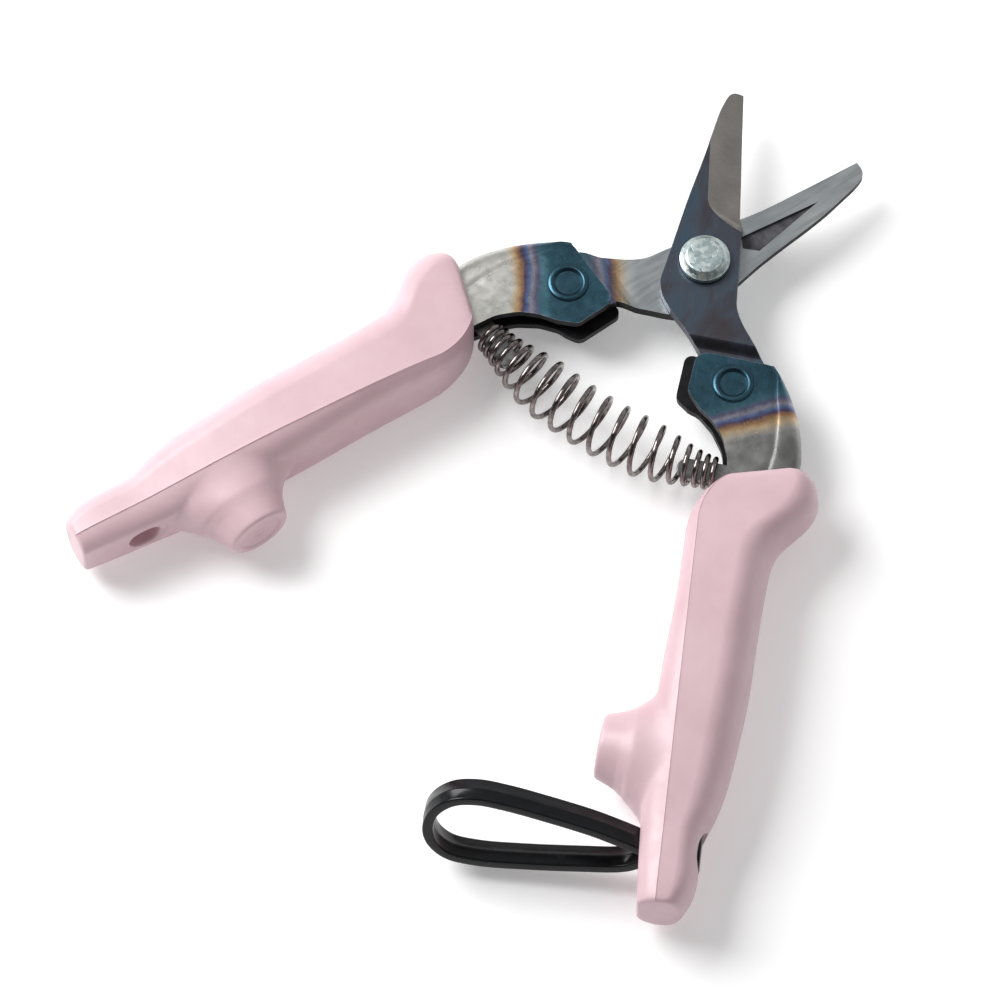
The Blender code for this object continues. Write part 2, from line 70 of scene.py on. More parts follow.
def place(side, flipped=False):
    """The matrix from the closed frame, in millimetres, to the rest place in metres."""
    turn = {"right": HALF_OPEN, "left": -HALF_OPEN, "middle": 0.0}[side]
    shape = Matrix.Identity(4)
    if flipped:
        shape = Matrix.Rotation(math.pi, 4, "Y")
    elif side == "left":
        shape = Matrix.Diagonal((-1, 1, 1, 1))
    lift = Matrix.Translation((0, 0, MEET_Z))
    return Matrix.Scale(MM, 4) @ lift @ Matrix.Rotation(turn, 4, "Z") @ shape


def piece(name, bm, where, looks, sharp=30):
    bm.transform(where)
    if where.determinant() < 0:
        bmesh.ops.reverse_faces(bm, faces=bm.faces)
    mesh = bpy.data.meshes.new(name)
    bm.to_mesh(mesh)
    bm.free()
    mesh.shade_smooth()
    mesh.set_sharp_from_angle(angle=math.radians(sharp))
    for look in looks:
        mesh.materials.append(look)
    made = bpy.data.objects.new(name, mesh)
    bpy.context.scene.collection.objects.link(made)
    return made


def softened(obj, width, segments=3, angle=35):
    """Small rounds on the sharp edges."""
    step = obj.modifiers.new("edge_round", "BEVEL")
    step.width = width * MM
    step.segments = segments
    step.limit_method = "ANGLE"
    step.angle_limit = math.radians(angle)
    step.harden_normals = True
    return obj


def handle_point(s, u, z):
    """Handle coordinates to the closed frame, for numbers or arrays."""
    x = s * math.sin(HANDLE_TILT) + u * math.cos(HANDLE_TILT)
    y = -s * math.cos(HANDLE_TILT) + u * math.sin(HANDLE_TILT)
    return np.stack(np.broadcast_arrays(x, y, z), axis=-1)


def smooth_step(value):
    value = np.clip(value, 0.0, 1.0)
    return value * value * (3 - 2 * value)


def along(knots, where):
    """The value at `where` of a soft curve through (place, value) knots in rising order."""
    xs, ys = (np.array(column, float) for column in zip(*knots))
    slopes = np.gradient(ys, xs)
    slopes[0] = (ys[1] - ys[0]) / (xs[1] - xs[0])
    slopes[1:-1] = (ys[2:] - ys[:-2]) / (xs[2:] - xs[:-2])
    where = np.clip(where, xs[0], xs[-1])
    k = np.clip(np.searchsorted(xs, where, side="right") - 1, 0, len(xs) - 2)
    span = xs[k + 1] - xs[k]
    t = (where - xs[k]) / span
    return ((2 * t**3 - 3 * t**2 + 1) * ys[k] + (t**3 - 2 * t**2 + t) * span * slopes[k]
            + (3 * t**2 - 2 * t**3) * ys[k + 1] + (t**3 - t**2) * span * slopes[k + 1])


def spline(points, step=0.5):
    """Points of a soft curve through the given ones, spaced by about `step`."""
    points = np.array(points, float)
    padded = np.vstack([2 * points[0] - points[1], points, 2 * points[-1] - points[-2]])
    out = []
    for p0, p1, p2, p3 in zip(padded, padded[1:], padded[2:], padded[3:]):
        knots = [0.0]
        for a, b in ((p0, p1), (p1, p2), (p2, p3)):
            knots.append(knots[-1] + max(np.linalg.norm(b - a), 1e-6) ** 0.5)
        t0, t1, t2, t3 = knots
        for t in np.linspace(t1, t2, max(1, round(np.linalg.norm(p2 - p1) / step)), endpoint=False):
            a1 = (t1 - t) / (t1 - t0) * p0 + (t - t0) / (t1 - t0) * p1
            a2 = (t2 - t) / (t2 - t1) * p1 + (t - t1) / (t2 - t1) * p2
            a3 = (t3 - t) / (t3 - t2) * p2 + (t - t2) / (t3 - t2) * p3
            b1 = (t2 - t) / (t2 - t0) * a1 + (t - t0) / (t2 - t0) * a2
            b2 = (t3 - t) / (t3 - t1) * a2 + (t - t1) / (t3 - t1) * a3
            out.append((t2 - t) / (t2 - t1) * b1 + (t - t1) / (t2 - t1) * b2)
    out.append(points[-1])
    return [tuple(p) for p in out]


def rounded(corners, radii, segments=6):
    """A closed outline with an arc of the given radius at each corner."""
    out = []
    count = len(corners)
    for i, (corner, radius) in enumerate(zip(corners, radii)):
        here = Vector(corner)
        before = (Vector(corners[i - 1]) - here).normalized()
        after = (Vector(corners[(i + 1) % count]) - here).normalized()
        if radius == 0:
            out.append(tuple(here))
            continue
        half = before.angle(after) / 2
        centre = here + (before + after).normalized() * radius / math.sin(half)
        reach = radius / math.tan(half)
        start = here + before * reach - centre
        end = here + after * reach - centre
        for k in range(segments + 1):
            out.append(tuple(centre + radius * start.slerp(end, k / segments)))
    return out


def prism(outline, low, high):
    bm = bmesh.new()
    face = bm.faces.new([bm.verts.new((x, y, low)) for x, y in outline])
    raised = bmesh.ops.extrude_face_region(bm, geom=[face])
    top = [v for v in raised["geom"] if isinstance(v, bmesh.types.BMVert)]
    bmesh.ops.translate(bm, vec=(0, 0, high - low), verts=top)
    bmesh.ops.recalc_face_normals(bm, faces=bm.faces)
    return bm


def grid(rows, closed=True, caps=True):
    """A mesh through rows of points, round if closed, with flat ends if capped."""
    bm = bmesh.new()
    made = [[bm.verts.new(point) for point in row] for row in rows]
    count = len(made[0])
    for low, high in zip(made, made[1:]):
        for i in range(count if closed else count - 1):
            j = (i + 1) % count
            bm.faces.new((low[i], low[j], high[j], high[i]))
    if caps:
        bm.faces.new(made[0])
        bm.faces.new(made[-1])
    bmesh.ops.recalc_face_normals(bm, faces=bm.faces)
    return bm


def turned(profile, centre=(0.0, 0.0), segments=96):
    """A body turned about a line along z. The profile runs from the bottom to the top."""
    angles = np.arange(segments) * 2 * math.pi / segments
    rows = [np.stack([centre[0] + r * np.cos(angles), centre[1] + r * np.sin(angles),
                      np.full(segments, z)], axis=-1) for r, z in profile]
    return grid(rows)


def boolean(base, tool, operation="DIFFERENCE"):
    """The bmesh left when tool is cut from, or joined to, base."""
    made = []
    for bm in (base, tool):
        mesh = bpy.data.meshes.new("boolean_step")
        bm.to_mesh(mesh)
        bm.free()
        made.append(bpy.data.objects.new("boolean_step", mesh))
        bpy.context.scene.collection.objects.link(made[-1])
    step = made[0].modifiers.new("cut", "BOOLEAN")
    step.operation = operation
    step.solver = "EXACT"
    step.object = made[1]
    bpy.context.view_layer.update()
    result = made[0].evaluated_get(bpy.context.evaluated_depsgraph_get())
    bm = bmesh.new()
    bm.from_mesh(result.to_mesh())
    result.to_mesh_clear()
    for thing in made:
        bpy.data.objects.remove(thing, do_unlink=True)
    return bm


def tube(points, radius, sides, ends=True):
    """A round wire through the points."""
    points = np.array(points)
    rows = []
    side = Vector((0, 0, 1))
    for i, point in enumerate(points):
        tangent = Vector(points[min(i + 1, len(points) - 1)] - points[max(i - 1, 0)]).normalized()
        side = (side - tangent * side.dot(tangent)).normalized()
        other = tangent.cross(side)
        rows.append([Vector(point) + radius * (side * math.cos(a) + other * math.sin(a))
                     for a in np.arange(sides) * 2 * math.pi / sides])
    return grid(rows, caps=ends)


# ---------------------------------------------------------------- finishes

class Finish:
    """A Principled material built up node by node. Each method returns the socket it ends in."""

    def __init__(self, name, rough=0.5, metal=0.0, specular=0.5):
        self.material = bpy.data.materials.new(name)
        self.material.use_nodes = True
        self.tree = self.material.node_tree
        self.shader = self.tree.nodes["Principled BSDF"]
        self.surface(Roughness=rough, Metallic=metal, Specular_IOR_Level=specular)
        self.at = self.node("TexCoord").outputs["Object"]

    def node(self, kind, inputs=None, **settings):
        made = self.tree.nodes.new("ShaderNode" + kind)
        for key, value in settings.items():
            setattr(made, key, value)
        for key, value in (inputs or {}).items():
            self.feed(made.inputs[key], value)
        return made

    def feed(self, socket, value):
        if isinstance(value, bpy.types.NodeSocket):
            self.tree.links.new(value, socket)
        else:
            socket.default_value = value

    def surface(self, **values):
        for key, value in values.items():
            self.feed(self.shader.inputs[key.replace("_", " ")], value)

    def where(self, turn=0.0, stretch=(1.0, 1.0, 1.0)):
        """Object coordinates in millimetres, turned about z by degrees and then stretched."""
        return self.node("Mapping", {
            "Vector": self.at, "Rotation": (0.0, 0.0, math.radians(turn)),
            "Scale": tuple(MM * part for part in stretch)}, vector_type="TEXTURE").outputs["Vector"]

    def noise(self, size, detail=4.0, rough=0.55, turn=0.0, stretch=(1.0, 1.0, 1.0), twist=0.0):
        """Noise whose features are about `size` millimetres, longer along a stretched axis."""
        return self.node("TexNoise", {
            "Vector": self.where(turn, stretch), "Scale": 1 / size, "Detail": detail, "Roughness": rough,
            "Distortion": twist}).outputs["Fac"]

    def math(self, operation, first, second=0.0):
        made = self.node("Math", {0: first, 1: second}, operation=operation)
        return made.outputs[0]

    def spread(self, value, low, high, to_low=0.0, to_high=1.0):
        """A value carried from one range to another, held at both ends."""
        return self.node("MapRange", {"Value": value, "From Min": low, "From Max": high, "To Min": to_low,
                                      "To Max": to_high}).outputs["Result"]

    def ramp(self, value, stops):
        made = self.node("ValToRGB", {"Fac": value})
        points = made.color_ramp.elements
        for place_on, color in stops[2:]:
            points.new(place_on)
        for point, (place_on, color) in zip(points, stops):
            point.position = place_on
            point.color = (*color, 1.0)
        return made.outputs["Color"]

    def mix(self, share, first, second):
        made = self.node("Mix", data_type="RGBA")
        for key, value in ((0, share), (6, first), (7, second)):
            self.feed(made.inputs[key], value if not isinstance(value, tuple) else (*value, 1.0))
        return made.outputs[2]

    def bump(self, layers):
        """Bump from (height value, depth in millimetres) layers, one on top of the other."""
        normal = None
        for height, depth in layers:
            inputs = {"Height": height, "Distance": depth * MM}
            if normal is not None:
                inputs["Normal"] = normal
            normal = self.node("Bump", inputs).outputs["Normal"]
        self.surface(Normal=normal)

    def edges(self, radius=0.25, low=0.02, high=0.35):
        """1 on sharp edges, from how much a rounded normal leaves the true one, broken up by noise."""
        soft = self.node("Bevel", {"Radius": radius * MM}, samples=6).outputs["Normal"]
        true = self.node("NewGeometry").outputs["Normal"]
        same = self.node("VectorMath", {0: soft, 1: true}, operation="DOT_PRODUCT").outputs["Value"]
        turned_by = self.math("SUBTRACT", 1.0, same)
        broken = self.spread(self.noise(0.9, 5.0), 0.3, 0.65, 0.35, 1.0)
        return self.math("MULTIPLY", self.spread(turned_by, low, high), broken)


def pink_plastic():
    """Moulded plastic: a fine-grained skin, a little cloudiness and a painted highlight along its edges."""
    made = Finish("pink_grip_finish", specular=0.6)
    cloud = made.noise(9.0, 5.0)
    tone = made.mix(made.spread(cloud, 0.35, 0.65), (0.640, 0.440, 0.482), (0.685, 0.482, 0.526))
    specks = made.spread(made.noise(0.6, 3.0), 0.66, 0.74)
    tone = made.mix(made.math("MULTIPLY", specks, 0.25), tone, (0.55, 0.35, 0.40))
    # painted highlight: sharp edges are mixed towards a lighter pink, standing in for light caught on them
    tone = made.mix(made.math("MULTIPLY", made.edges(0.35, 0.01, 0.3), 0.45), tone, (0.80, 0.63, 0.68))
    made.surface(Base_Color=tone, Roughness=made.spread(made.noise(2.4, 5.0), 0.3, 0.7, 0.34, 0.5))
    made.bump([(made.noise(4.0, 3.0), 0.05), (made.noise(0.45, 4.0, 0.6), 0.018)])
    return made.material


def blued_steel(name, turn):
    """Heat-blackened steel: blue-grey with brown and blue clouds, rubbed to bare metal along its edges."""
    made = Finish(name, metal=1.0)
    cloud = made.noise(7.0, 5.0, 0.6, turn, (1.0, 2.2, 1.0), 0.6)
    tone = made.ramp(cloud, [(0.28, (0.085, 0.068, 0.072)), (0.42, (0.078, 0.080, 0.100)),
                             (0.55, (0.072, 0.092, 0.120)), (0.68, (0.045, 0.086, 0.125)),
                             (0.8, (0.098, 0.100, 0.115))])
    streaks = made.noise(0.35, 4.0, 0.6, turn, (1.0, 14.0, 1.0))
    tone = made.mix(made.spread(streaks, 0.35, 0.75, 0.0, 0.12), tone, (0.16, 0.17, 0.19))
    worn = made.edges(0.3, 0.03, 0.5)
    tone = made.mix(made.math("MULTIPLY", worn, 0.85), tone, (0.42, 0.41, 0.44))
    made.surface(Base_Color=tone, Roughness=made.spread(cloud, 0.3, 0.7, 0.28, 0.44))
    made.bump([(made.noise(2.2, 4.0), 0.02), (streaks, 0.004), (made.noise(0.3, 3.0), 0.004)])
    return made.material


def grain(axis, length):
    """A stretch of `length` along one axis."""
    return tuple(length if name == axis else 1.0 for name in "xyz")


def ground_steel(name, dark, light, turn, axis, rough=0.3, heated=False):
    """Ground steel: fine stone lines along an axis, soft clouds and a bright rubbed edge."""
    made = Finish(name, metal=1.0)
    fine = made.noise(0.14, 3.0, 0.6, turn, grain(axis, 40.0))
    broad = made.noise(0.8, 3.0, 0.5, turn, grain(axis, 12.0))
    cloud = made.noise(8.0, 3.0, 0.5)
    share = made.math("ADD", made.math("MULTIPLY", fine, 0.35), made.math(
        "ADD", made.math("MULTIPLY", broad, 0.15), made.math("MULTIPLY", cloud, 0.5)))
    tone = made.mix(made.spread(share, 0.38, 0.64), dark, light)
    if heated:
        offset = tint_offset(made, "left", 1.0)
        tone = made.mix(made.spread(offset, 10.0, 14.0, 0.9, 0.0), tone, tint_color(made, offset))
    tone = made.mix(made.math("MULTIPLY", made.edges(0.2, 0.02, 0.4), 0.7), tone, (0.72, 0.72, 0.72))
    made.surface(Base_Color=tone, Roughness=made.spread(broad, 0.3, 0.7, rough - 0.05, rough + 0.07))
    made.bump([(fine, 0.004), (broad, 0.004), (cloud, 0.02)])
    return made.material


TINT_CENTRE = 27.2
TINTS = [(0.0, (0.030, 0.075, 0.105)), (3.5, (0.036, 0.095, 0.130)), (5.2, (0.060, 0.135, 0.175)),
         (6.1, (0.110, 0.110, 0.180)), (7.1, (0.260, 0.250, 0.290)), (7.8, (0.100, 0.150, 0.290)),
         (8.6, (0.085, 0.062, 0.115)), (9.5, (0.330, 0.185, 0.095)), (10.7, (0.560, 0.430, 0.270)),
         (12.4, (0.610, 0.600, 0.560)), (20.0, (0.560, 0.565, 0.560))]


def tint_offset(made, side, inner_share):
    """Millimetres from the hottest line, across the tang. The share squeezes the side towards the blade."""
    half = -1.0 if side == "left" else 1.0
    across = made.node("VectorMath", {0: made.where(), 1: (half * 0.7938, -0.6078, 0.0)},
                       operation="DOT_PRODUCT").outputs["Value"]
    sway = made.spread(made.noise(11.0, 2.0, 0.5), 0.25, 0.75, -0.9, 0.9)
    grain = made.spread(made.noise(0.6, 3.0, 0.6), 0.25, 0.75, -0.28, 0.28)
    offset = made.math("ADD", across, made.math("ADD", sway, grain))
    offset = made.math("SUBTRACT", offset, TINT_CENTRE)
    return made.math("MAXIMUM", offset, made.math("MULTIPLY", offset, -inner_share))


def tint_color(made, offset):
    return made.ramp(made.math("DIVIDE", offset, 20.0), [(t / 20.0, color) for t, color in TINTS])


def tinted_steel(name, side, bare):
    """Sheet steel with the colours of a heated spot round the rivet, in bands across the tang."""
    made = Finish(name, metal=1.0)
    offset = tint_offset(made, side, 0.5)
    cloud = made.noise(6.0, 4.0, 0.5)
    # the bare tone is given per side: lighter on the left tang as painted light, darker on the right as
    # painted shade
    bare_with_painted_shading = made.mix(made.spread(cloud, 0.35, 0.65), bare[0], bare[1])
    tone = made.mix(made.spread(offset, 10.5, 12.5), tint_color(made, offset), bare_with_painted_shading)
    turn = 22.35 if side == "right" else -22.35
    lines = made.noise(0.25, 3.0, 0.6, turn, (1.0, 16.0, 1.0))
    tone = made.mix(made.spread(lines, 0.5, 0.85, 0.0, 0.22), tone, (0.20, 0.20, 0.20))
    pits = made.spread(made.noise(0.32, 4.0, 0.7), 0.62, 0.70)
    tone = made.mix(made.math("MULTIPLY", pits, 0.28), tone, (0.10, 0.085, 0.075))
    tone = made.mix(made.math("MULTIPLY", made.edges(0.3, 0.02, 0.4), 0.6), tone, (0.62, 0.63, 0.64))
    made.surface(Base_Color=tone, Roughness=made.spread(made.noise(1.8, 5.0), 0.3, 0.7, 0.24, 0.40))
    made.bump([(cloud, 0.04), (lines, 0.005), (pits, -0.012)])
    return made.material


def scaled_steel(name, tone=(0.008, 0.008, 0.009)):
    """Nearly black scaled steel, rubbed along its edges; on the tangs' back flaps and cut edges its
    near-black is painted shade.
    """
    made = Finish(name, specular=0.1)
    cloud = made.noise(2.5, 5.0, 0.6)
    mixed = made.mix(made.spread(cloud, 0.35, 0.7), tone, tuple(part * 2.2 for part in tone))
    worn = made.math("MULTIPLY", made.edges(0.12, 0.16, 0.6), 0.3)
    mixed = made.mix(worn, mixed, (0.30, 0.30, 0.30))
    made.surface(Base_Color=mixed, Metallic=worn, Roughness=made.spread(cloud, 0.3, 0.7, 0.34, 0.5))
    made.bump([(made.noise(0.8, 4.0), 0.02)])
    return made.material


def zinc_plate():
    """Bright zinc: pale crystals on the flat, scratches round the chamfer."""
    made = Finish("zinc_finish", metal=1.0)
    bent = made.node("VectorMath", {0: made.where(), 1: made.noise(1.2, 3.0)}, operation="ADD")
    cells = made.node("TexVoronoi", {"Vector": bent.outputs["Vector"], "Scale": 1.25}).outputs["Color"]
    crystal = made.node("SeparateColor", {0: cells}).outputs[0]
    cloud = made.noise(1.6, 5.0, 0.65)
    share = made.math("ADD", made.math("MULTIPLY", crystal, 0.4), made.math("MULTIPLY", cloud, 0.8))
    tone = made.ramp(share, [(0.2, (0.30, 0.40, 0.41)), (0.5, (0.46, 0.56, 0.57)),
                             (0.75, (0.62, 0.69, 0.67)), (0.95, (0.74, 0.76, 0.70))])
    scratches = made.spread(made.noise(0.16, 3.0, 0.7, 25.0, (1.0, 10.0, 1.0)), 0.62, 0.72)
    tone = made.mix(made.math("MULTIPLY", scratches, 0.4), tone, (0.20, 0.22, 0.22))
    tone = made.mix(made.math("MULTIPLY", made.edges(0.25, 0.02, 0.35), 0.6), tone, (0.85, 0.86, 0.82))
    made.surface(Base_Color=tone, Roughness=made.spread(share, 0.2, 0.9, 0.22, 0.42))
    made.bump([(crystal, 0.01), (cloud, 0.04), (scratches, -0.012)])
    return made.material


def spring_wire():
    """Drawn steel wire: dark and glossy, with fine pits."""
    made = Finish("spring_finish", metal=1.0)
    cloud = made.noise(1.4, 4.0, 0.6)
    tone = made.mix(made.spread(cloud, 0.35, 0.65), (0.115, 0.098, 0.094), (0.30, 0.265, 0.255))
    pits = made.spread(made.noise(0.22, 3.0, 0.7), 0.62, 0.7)
    tone = made.mix(made.math("MULTIPLY", pits, 0.5), tone, (0.10, 0.075, 0.06))
    made.surface(Base_Color=tone, Roughness=made.spread(cloud, 0.3, 0.7, 0.10, 0.22))
    made.bump([(made.noise(0.5, 3.0), 0.008), (pits, -0.008)])
    return made.material


def black_rubber():
    """Smooth black rubber with faint dust and a soft skin."""
    made = Finish("strap_finish", specular=0.24)
    cloud = made.noise(3.0, 5.0)
    tone = made.mix(made.spread(cloud, 0.35, 0.7), (0.0030, 0.0034, 0.0042), (0.0065, 0.0072, 0.0088))
    dust = made.spread(made.noise(0.4, 4.0, 0.7), 0.64, 0.76)
    tone = made.mix(made.math("MULTIPLY", dust, 0.2), tone, (0.03, 0.031, 0.033))
    tone = made.mix(made.math("MULTIPLY", made.edges(0.3, 0.02, 0.4), 0.3), tone, (0.03, 0.033, 0.037))
    made.surface(Base_Color=tone, Roughness=made.spread(cloud, 0.3, 0.7, 0.15, 0.26))
    made.bump([(made.noise(1.6, 3.0), 0.02), (made.noise(0.3, 3.0), 0.003)])
    return made.material


def floor_paper():
    """Pale matt paper on a light table."""
    made = Finish("floor_finish", specular=0.2)
    tone = made.mix(made.spread(made.noise(30.0, 3.0), 0.35, 0.65), (0.90, 0.90, 0.90), (0.93, 0.93, 0.93))
    made.surface(Base_Color=tone, Roughness=0.7, Emission_Color=(1.0, 1.0, 1.0, 1.0),
                 Emission_Strength=0.24)
    made.bump([(made.noise(0.8, 3.0), 0.02)])
    return made.material


pink = pink_plastic()
blued = blued_steel("blued_finish", HALF_OPEN_DEGREES)
front_bevel = ground_steel("ground_bevel_finish", (0.27, 0.25, 0.235), (0.37, 0.35, 0.33),
                           HALF_OPEN_DEGREES, "x", 0.34)
rear_face = ground_steel("ground_steel_finish", (0.31, 0.34, 0.355), (0.47, 0.49, 0.50),
                         -HALF_OPEN_DEGREES, "y", 0.3, True)
rear_bevel = ground_steel("rear_bevel_finish", (0.24, 0.23, 0.22), (0.42, 0.40, 0.38),
                          -HALF_OPEN_DEGREES, "x", 0.32)
tab_look = ground_steel("tab_finish", (0.16, 0.16, 0.16), (0.34, 0.34, 0.34), 0.0, "x", 0.34)
hollow_look = scaled_steel("hollow_finish", (0.050, 0.050, 0.056))
# scale on the rear blade's sides; painted shade on the tangs' back flaps and cut edges, which lie in shade
# under the front flaps
scale_and_painted_shade_look = scaled_steel("scale_and_painted_shade_finish")
# one steel for both tangs in lit and shaded copies: the left's lighter bare tone is painted light, the
# right's darker one painted shade
tang_looks = {"left": tinted_steel("left_tang_finish", "left", ((0.50, 0.50, 0.47), (0.62, 0.61, 0.57))),
              "right": tinted_steel("right_tang_finish", "right", ((0.17, 0.17, 0.17), (0.29, 0.29, 0.28)))}
zinc = zinc_plate()
wire_look = spring_wire()
black = black_rubber()


# ---------------------------------------------------------------- blades

BLADE_LOW, BLADE_HIGH = 0.15, 2.75
CRANK_DROP = 1.45                    # the tail is bent down by this much
GRIND_SLOPE = 0.36
HOLLOW_DEPTH = 0.6
BACK = [(2.9, -19.0), (-1.2, -14.9), (-4.7, -11.5), (-6.9, -8.6), (-7.75, -6.0), (-7.5, -2.6), (-7.1, 1.2),
        (-5.9, 12.9), (-4.5, 23.3), (-4.1, 27.5), (-3.7, 31.6)]
NECK = [(6.1, 5.9), (6.7, 1.7), (7.6, -5.0), (8.2, -8.6), (9.7, -11.5), (12.1, -14.6), (15.8, -19.0)]
REAR_BACK = BACK[:6] + [(-7.0, 1.2), (-6.6, 3.6), (-5.5, 9.7), (-4.75, 16.0), (-4.15, 22.0), (-3.45, 27.1),
                        (-2.6, 31.2)]
FRONT_NOSE = [(-3.7, 31.6), (-3.45, 33.6), (-3.1, 35.2), (-2.7, 36.8), (-2.2, 37.8), (-1.5, 38.35),
              (-0.7, 38.5), (0.3, 38.45)]
REAR_NOSE = [(-2.6, 31.2), (-2.05, 33.9), (-1.45, 36.0), (-0.9, 37.2), (-0.1, 37.9), (0.9, 38.2),
             (2.35, 38.2)]
FRONT_EDGE = [(0.3, 38.45), (1.05, 34.0), (1.8, 29.5), (3.05, 22.3), (4.3, 15.0), (4.95, 11.2)]
REAR_EDGE = [(2.35, 38.2), (2.9, 30.3), (3.3, 25.0), (3.65, 20.0), (4.1, 15.8), (4.9, 11.2)]


def blade_outline(back, nose, edge):
    return ([(3.6, -27.4)] + spline(back, 0.7)[:-1] + spline(nose, 0.35)[:-1] + spline(edge, 1.0)
            + [(6.0, 9.0)] + spline(NECK, 0.6) + [(16.6, -21.0), (18.2, -29.5), (6.4, -30.2)])


def grinding_wedge(lean):
    """The stone's path: a slope up from the cutting edge that runs out in an arc at the heel."""
    start = (-2.1, 13.6)
    heel = spline([start, (-1.5, 12.25), (-0.1, 10.85), (1.8, 9.6), (4.0, 8.5), (6.1, 7.75),
                   (12.0, 6.8)], 0.7)
    bm = bmesh.new()
    for x, y in heel + [(12.0, 46.0), (start[0] - 32.4 * lean, 46.0)]:
        bm.verts.new((x, y, BLADE_HIGH))
        bm.verts.new((x, y, BLADE_HIGH + 3.0))
    low = [(1.0, 12.4), (3.0, 11.1), (5.1, 10.2), (7.5, 9.5), (12.0, 8.8), (12.0, 46.0)]
    for x, y in low:
        bm.verts.new((x, y, BLADE_HIGH - GRIND_SLOPE * (x - start[0] + (y - start[1]) * lean)))
    bmesh.ops.convex_hull(bm, input=bm.verts)
    return bm


def inside_hollow(point):
    return -3.1 < point.x < 1.6 and point.x < 1.75 - 0.12 * (point.y - 9.9) and point.y < 27.1


def on_back_edge(edge):
    a, b = (vert.co for vert in edge.verts)
    high = abs(a.z - BLADE_HIGH) < 1e-4 and abs(b.z - BLADE_HIGH) < 1e-4
    return high and all(point.x < 0.2 and point.y > -7.0 for point in (a, b))


def blade(back, nose, edge, lean, back_round=0.0):
    """A blade blank, cranked at its tail, ground on top, with a hollow in the face that meets the other."""
    bm = prism(blade_outline(back, nose, edge), BLADE_LOW, BLADE_HIGH)
    if back_round:
        bmesh.ops.bevel(bm, geom=[e for e in bm.edges if on_back_edge(e)], offset=back_round, segments=3,
                        profile=0.5, affect="EDGES")
    for y in np.linspace(-15.4, -18.9, 11):
        geometry = bm.verts[:] + bm.edges[:] + bm.faces[:]
        bmesh.ops.bisect_plane(bm, geom=geometry, plane_co=(0, y, 0), plane_no=(0, 1, 0), dist=1e-5)
    for vert in bm.verts:
        vert.co.z -= CRANK_DROP * float(smooth_step((-15.7 - vert.co.y) / 2.9))
    bm = boolean(bm, grinding_wedge(lean))
    hollow = rounded([(1.45, 9.9), (-0.5, 26.9), (-3.05, 11.15), (-0.75, 8.6)], (0.3, 0.0, 0.4, 0.4))
    bm = boolean(bm, prism(hollow, BLADE_LOW - 1.0, BLADE_LOW + HOLLOW_DEPTH))
    for face in bm.faces:
        centre = face.calc_center_median()
        if centre.z < BLADE_HIGH - 0.01 and 0.3 < face.normal.z < 0.995 and centre.y > 5:
            face.material_index = 1
        elif BLADE_LOW + 0.01 < centre.z < BLADE_LOW + 0.65 and centre.y > 8 and face.normal.z < 0.1:
            face.material_index = 2 if inside_hollow(centre) else 3
        elif abs(face.normal.z) < 0.3 or (centre.y > -7.0 and 0 < face.normal.z < 0.97):
            face.material_index = 3
    return bm


def blades():
    front = piece("front_blade_detail", blade(BACK, FRONT_NOSE, FRONT_EDGE, 0.157), place("right"),
                  [blued, front_bevel, hollow_look, blued], 12)
    rear = piece("rear_blade_detail", blade(REAR_BACK, REAR_NOSE, REAR_EDGE, 0.09, 1.0),
                 place("left", True), [rear_face, rear_bevel, hollow_look, scale_and_painted_shade_look], 12)
    for obj, node, body in ((front, "front_blade", "right_half"), (rear, "rear_blade", "left_half")):
        softened(obj, 0.12, 2)
        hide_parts(node)
        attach(obj, body)


# ---------------------------------------------------------------- pivot

def pivot():
    """The rivet, from its peened end up to the flat head, and the washer under the blades."""
    angles = np.linspace(0, math.pi / 2, 6)
    profile = [(0.9, -6.1), (2.4, -5.85), (3.4, -5.45), (3.9, -4.8), (3.9, -4.2), (2.9, -4.1), (2.9, 2.9),
               (4.7, 2.9), (5.0, 3.15), (5.0, 4.0)]
    profile += [(4.85 + 0.15 * math.cos(a), 4.1 + 0.15 * math.sin(a)) for a in angles]
    profile += [(3.95, 5.35), (3.78, 5.5), (3.6, 5.58), (3.4, 5.6), (1.2, 5.6)]
    rivet = piece("pivot_rivet_detail", turned(profile), place("middle"), [zinc], 50)
    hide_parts("pivot_rivet")
    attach(rivet, "right_half")
    ring = [(4.6, -3.83), (4.7, -3.7), (4.7, -3.15), (4.6, -3.05), (3.2, -3.05), (3.2, -3.85), (4.6, -3.83)]
    angles = np.arange(72) * 2 * math.pi / 72
    rows = [np.stack([r * np.cos(angles), r * np.sin(angles), np.full(72, z)], -1) for r, z in ring[:-1]]
    bm = grid(rows + [rows[0]], caps=False)
    bmesh.ops.remove_doubles(bm, verts=bm.verts, dist=0.0001)
    washer = piece("pivot_washer_detail", bm, place("middle"), [zinc], 40)
    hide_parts("pivot_washer")
    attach(washer, "right_half")


# ---------------------------------------------------------------- tangs

SPINE = [(18.2, -19.7), (20.2, -21.9), (21.75, -24.0), (23.5, -27.1), (25.0, -30.5), (26.1, -34.0),
         (26.75, -37.4), (26.9, -41.0), (26.7, -45.5), (25.9, -50.5), (24.4, -55.5), (23.2, -60.0)]
FOLD_LINE = [(17.6, -19.9), (18.95, -21.6), (19.4, -24.4), (19.9, -26.8), (20.75, -30.0), (21.3, -34.3),
             (21.6, -38.0), (21.3, -42.0), (20.8, -46.0), (20.2, -50.5), (19.5, -55.5), (18.9, -60.0)]
FRONT_CORNERS = [(2.45, -19.7), (2.2, -28.5), (5.3, -31.8), (8.1, -33.7), (10.9, -36.8), (12.8, -41.2),
                 (13.3, -47.0), (13.4, -60.0)]
TANG_HALF = 3.4
SHEET = 1.8
ACROSS_TINT = (0.503, -0.864)
TANG_RIVET = (10.7, -25.3)


